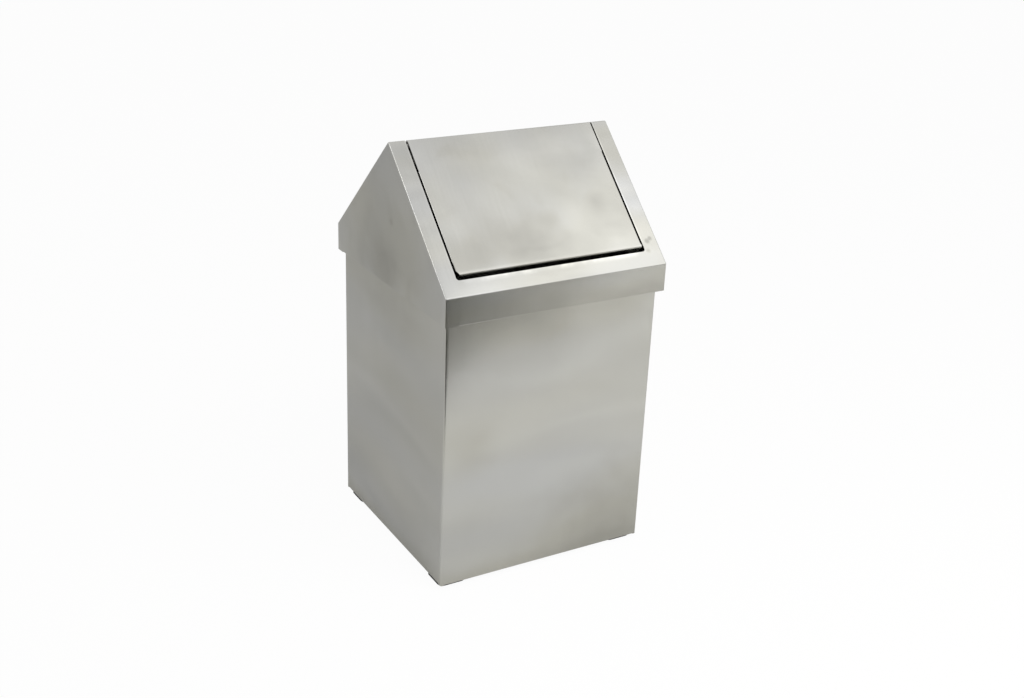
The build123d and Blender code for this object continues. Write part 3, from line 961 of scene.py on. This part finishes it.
def round_window_corner(roof, side, end):
    """Fill one lower corner of the window up to a quarter round."""
    start = on_slope(window_reach - window_corner, 0, side) + unit(X) * end * window_half
    centre = start - unit(X) * end * window_corner
    pick(roof, "verts", lambda vert: (vert.co - start).length < close)
    bpy.ops.mesh.spin(
        steps=corner_facets, angle=-side * end * pi / 2, center=centre, axis=-under_slope(side)
    )
    weld_points()

    def in_corner(point):
        away = point - centre
        outer = end * away.x > -tiny and side * away.y > -tiny
        tip = hypot(window_corner, window_corner)
        return outer and window_corner - close < away.length < tip + close

    pick(roof, "edges", lambda edge: len(edge.link_faces) < 2 and both(edge, in_corner))
    bpy.ops.mesh.edge_face_add()


def cut_window(roof):
    """Cut the flap's window over the ridge, its lower corners round and its left edge eased."""
    def in_window(face):
        middle = face.calc_center_median()
        return abs(middle.x) < window_half and abs(middle.y) < window_reach * cos(pitch) - tiny

    def in_left_column(vert):
        return -tiny < vert.co.x + window_half < window_corner + tiny

    pick(roof, "faces", in_window)
    bpy.ops.mesh.delete(type="FACE")
    for side in (-1, 1):
        for end in (-1, 1):
            round_window_corner(roof, side, end)
    pick(roof, "verts", in_left_column)
    bpy.ops.transform.translate(value=unit(X) * -window_left_ease)


def round_roof_ends(roof):
    """Grind round the welds between the roof and the gables."""
    def at_weld(edge):
        ends = [face for face in edge.link_faces if looks_along(face, X)]
        skins = [face for face in edge.link_faces if abs(face.normal.x) < edge_on]
        if not ends or not skins or not both(edge, lambda p: near(abs(p.x), roof_high.x)):
            return False
        normal = skins[0].normal
        outward = normal.y * edge.verts[0].co.y > 0
        return normal.z > edge_on or (abs(normal.z) < edge_on and outward)

    bpy.ops.object.mode_set(mode="EDIT")
    pick(roof, "edges", at_weld)
    bpy.ops.mesh.bevel(
        offset=roof_edge_round, segments=edge_facets, affect="EDGES", clamp_overlap=False
    )
    bpy.ops.object.mode_set(mode="OBJECT")


def fold_roof():
    """Roof and skirts from one sheet, with the flap's window over the ridge."""
    half, deep = roof_high.x, roof_high.y
    hem_half = half - sheet_wall - gable_flange - weld_fit
    middle = (0, -deep, roof_low.z + skirt_height / 2)
    roof = start_rectangle("hood_cover", middle, 2 * half, skirt_height, (pi / 2, 0, 0))
    pick(roof, "edges", at_height(eave))
    pull((0, deep, roof_rise), (0, deep, -roof_rise), (0, 0, -skirt_height))
    grid(roof, X, -half, half)
    for side in (-1, 1):
        for x in (window_half, window_half - window_corner, hem_half):
            cut(roof, unit(X) * side * x, unit(X))
    sill_middle = (window_reach + slope_length) / 2
    even = even_steps(0, window_reach)
    cut_slopes(roof, window_reach, window_reach - window_corner, sill_middle, *even)
    for share in skirt_cuts:
        height = roof_low.z + skirt_height * share
        cut(roof, unit(Z) * height, unit(Z), lambda face: looks_along(face, Y))
    for height, turn in ((eave, pi / 2 - pitch), (ridge, 2 * pitch)):
        fold(roof, bend, turn, at_height(height))
    cut_window(roof)
    for side in (-1, 1):
        hem_below(roof, Y, side, deep, roof_low.z, hem_half, skirt_hem, pressed_roundness)
    face_outwards()

    for side in (-1, 1):
        def slack(point):
            on_skirt = ramp(eave - point.z, *skirt_fold_slack) if side * point.y > 0 else 0
            return on_skirt * ramp(half - abs(point.x), *skirt_end_slack)

        bow(roof, skirt_dips, -side, slack, "Y")
    thicken(roof)
    round_roof_ends(roof)
    return roof


def fold_gable(name, side):
    """A gable with its edges turned in under the roof and a hem below."""
    bottom = roof_low.z
    face_x = side * roof_high.x
    deep = roof_high.y - sheet_wall
    peak = ridge - sheet_wall / cos(pitch)
    shoulder = peak - deep * tan(pitch)
    middle = (face_x, 0, (bottom + shoulder) / 2)
    gable = start_rectangle(name, middle, 2 * deep, shoulder - bottom, (pi / 2, 0, pi / 2))
    pick(gable, "edges", at_height(shoulder))
    pull((0, 0, peak - shoulder))
    bpy.ops.mesh.merge(type="CENTER")
    pick(gable, "verts", lambda vert: near(vert.co.z, peak))
    bpy.ops.mesh.bevel(
        offset=(bend - sheet_wall) * tan(pitch), segments=peak_facets, affect="VERTICES",
        clamp_overlap=False,
    )
    grid(gable, Y, -deep, deep)
    grid(gable, Z, bottom, peak)

    # flanges stop short of the folds
    def in_lowest_row(face):
        return face.calc_center_median().z < bottom + grid_step

    def flange_ends(end):
        reaches = (flange_relief, slope_length - flange_relief)
        return [on_slope(reach, sheet_wall, end) for reach in reaches]

    for end in (-1, 1):
        cut(gable, (0, end * deep, shoulder - flange_relief), unit(Z))
        for place in flange_ends(end):
            cut(gable, place, down_slope(end))
        cut(gable, unit(Y) * end * (deep - gable_flange), unit(Y), in_lowest_row)
    for end in (-1, 1):
        upper, lower = flange_ends(end)

        def on_flange(edge):
            middle = middle_of(edge)
            upright = near(end * middle.y, deep) and middle.z < shoulder - flange_relief
            under_roof = near(drop_below(middle, peak), 0) and lower.z < middle.z < upper.z
            on_end = end * middle.y > 0 and near(middle.x, face_x)
            return edge.is_boundary and on_end and (upright or under_roof)

        pick(gable, "edges", on_flange)
        pull(-side * unit(X) * gable_flange)
    hem_below(gable, X, side, roof_high.x, bottom, deep - gable_flange, skirt_hem, hem_roundness)
    face_outwards()

    def slack(point):
        from_edge = min(deep - abs(point.y), drop_below(point, peak) * cos(pitch))
        return ramp(from_edge, *gable_edge_slack) * ramp(point.z - bottom, *gable_hem_slack)

    bow(gable, gable_dips, -side, slack, "X")
    thicken(gable)
    return gable


# ================================================================ flap
def turn_flap_side(flap, half, side):
    """Turn in the flanges along both ends of one slope, clear of the ridge and the lip."""
    def on_flange(edge):
        middle = middle_of(edge)
        on_face = near(drop_below(middle, ridge), 0) and side * middle.y > 0
        along_it = flap_flange_start < from_ridge(middle) < flap_flange_end
        return edge.is_boundary and on_face and along_it

    def at_fold(point):
        on_end = near(abs(point.x), half) and near(drop_below(point, ridge), 0)
        along_it = flap_flange_start - close < from_ridge(point) < flap_flange_end + close
        return on_end and along_it and side * point.y > 0

    pick(flap, "edges", on_flange)
    pull(under_slope(side) * flap_flange)
    fold(
        flap, flap_edge_round, pi / 2,
        lambda edge: not edge.is_boundary and both(edge, at_fold), edge_facets,
    )


def clip_flap_corner(flap, half):
    """Cut away the flap's front left corner."""
    along_lip, up_side = flap_clip
    outward = (down_slope(-1) * along_lip - unit(X) * up_side).normalized()
    place = on_slope(flap_reach - up_side, 0, -1) - unit(X) * half
    bpy.ops.object.mode_set(mode="EDIT")
    bpy.ops.mesh.select_all(action="SELECT")
    bpy.ops.mesh.bisect(
        plane_co=place, plane_no=outward, use_fill=True, clear_outer=True, threshold=tiny
    )
    bpy.ops.object.mode_set(mode="OBJECT")


def fold_flap():
    """The swing flap: two slopes, lips turned in below and flanges down the sides."""
    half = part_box("flap_panel")[1].x
    corner = on_slope(flap_reach, 0, -1)
    lip_middle = (corner + on_slope(flap_reach, flap_lip, -1)) / 2
    flap = start_rectangle("flap_cover", lip_middle, 2 * half, flap_lip, (pitch - pi / 2, 0, 0))
    pick(flap, "edges", lambda edge: both(edge, lambda p: (p.yz - corner.yz).length < close))
    pull(down_slope(-1) * -flap_reach, down_slope(1) * flap_reach, under_slope(1) * flap_lip)
    grid(flap, X, -half, half)
    cut_slopes(flap, flap_flange_start, flap_flange_end, *even_steps(0, flap_reach))
    for height, turn in ((ridge, 2 * pitch), (corner.z, pi / 2)):
        fold(flap, bend, turn, at_height(height))
    for side in (-1, 1):
        turn_flap_side(flap, half, side)
    face_outwards()

    def slack(point):
        if not near(drop_below(point, ridge), 0):
            return 0
        down = from_ridge(point)
        ends = ramp(down, *flap_ridge_slack) * ramp(flap_reach - down, *flap_lip_slack)
        return ends * ramp(half - abs(point.x), *flap_side_slack)

    bow(flap, flap_dips, -1, slack)
    thicken(flap)
    clip_flap_corner(flap, half)
    return flap


# ================================================================ scene
bpy.context.scene.view_settings.view_transform = "Standard"
aim_camera()
lay_floor()
light_room()
stand_flag()
pool_aim = (pool_place[0], pool_place[1], 0)
hang_lamp("key_box", key_place, lamp_aim, key_size, key_watts)
hang_lamp("fill_box", fill_place, lamp_aim, fill_size, fill_watts)
hang_lamp("pool_box", pool_place, pool_aim, pool_size, pool_watts, mirrored=False)

grain_group = make_grain_group()
handling_group = make_handling_group()
smudge_and_shade_group = make_smudge_and_shade_group()
wear_group = make_wear_group()
low_edge_group = make_low_edge_group()
drift_group = make_drift_group()

finishes = {
    "can_steel": finish_steel(
        "can_sheet", cool_steel, warm_steel, sheet_roughness, can_grain, can_waves,
        can_painted_shades, can_low_edge_shade, marks=0.1,
    ),
    "hood_steel": finish_steel(
        "hood_sheet", cool_steel, warm_steel, sheet_roughness, hood_grain, hood_waves,
        # the hood's edges brighten six times as much as by default: a painted highlight along its
        # rounded edges, on top of the wear
        hood_smudges, hood_low_edge_shade, wear_and_glint=3.0, marks=0.3,
    ),
    "gable_steel": finish_steel(
        "gable_sheet", cool_steel, warm_steel, sheet_roughness, hood_grain, gable_waves,
        gable_shades_and_marks, marks=0.3,
    ),
    "flap_steel": finish_steel(
        "flap_sheet", cool_steel, warm_steel, sheet_roughness, hood_grain, flap_waves,
        flap_smudges, marks=0.3,
    ),
    "bracket_steel": finish_steel(
        "bracket_sheet", cool_steel, warm_steel, bracket_roughness, can_grain, bracket_waves
    ),
    "fastener_steel": finish_steel(
        "turned_steel", cool_turned, warm_turned, turned_roughness, turned_grain, turned_waves
    ),
    "foot_rubber": finish_moulding(
        "moulded_rubber", rubber, dusty_rubber, rubber_roughness, rubber_specks
    ),
    "bush_nylon": finish_moulding(
        "moulded_nylon", nylon, worn_nylon, nylon_roughness, nylon_specks
    ),
}
node_finishes = {
    "can_steel": ("body_wrap", "seam_strap", "base_pan"),
    "hood_steel": ("hood_roof",),
    "gable_steel": ("gable_left", "gable_right"),
    "flap_steel": ("flap_panel",),
    "bracket_steel": (
        "seat_rail_front", "seat_rail_back", "seat_rail_left", "seat_rail_right",
        "pivot_bracket_left", "pivot_bracket_right", "hanger_left", "hanger_right",
    ),
    "fastener_steel": (
        "foot_rivets", "foot_washers", "pivot_washers", "pivot_nuts",
        "pivot_screw_left", "pivot_screw_right",
    ),
    "foot_rubber": ("foot_front_left", "foot_front_right", "foot_back_left", "foot_back_right"),
    "bush_nylon": ("pivot_bush_left", "pivot_bush_right"),
}
for slot_name, names in node_finishes.items():
    for name in names:
        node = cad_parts[name]
        node.data.materials.clear()
        node.data.materials.append(finishes[slot_name])

dress(fold_can_wall(), "can", "can_steel", "body_wrap")
dress(fold_roof(), "hood", "hood_steel", "hood_roof")
for side_name, side in (("left", -1), ("right", 1)):
    gable = fold_gable(f"gable_sheet_{side_name}", side)
    dress(gable, "hood", "hood_steel", f"gable_{side_name}", "gable_steel")
dress(fold_flap(), "flap", "flap_steel", "flap_panel")
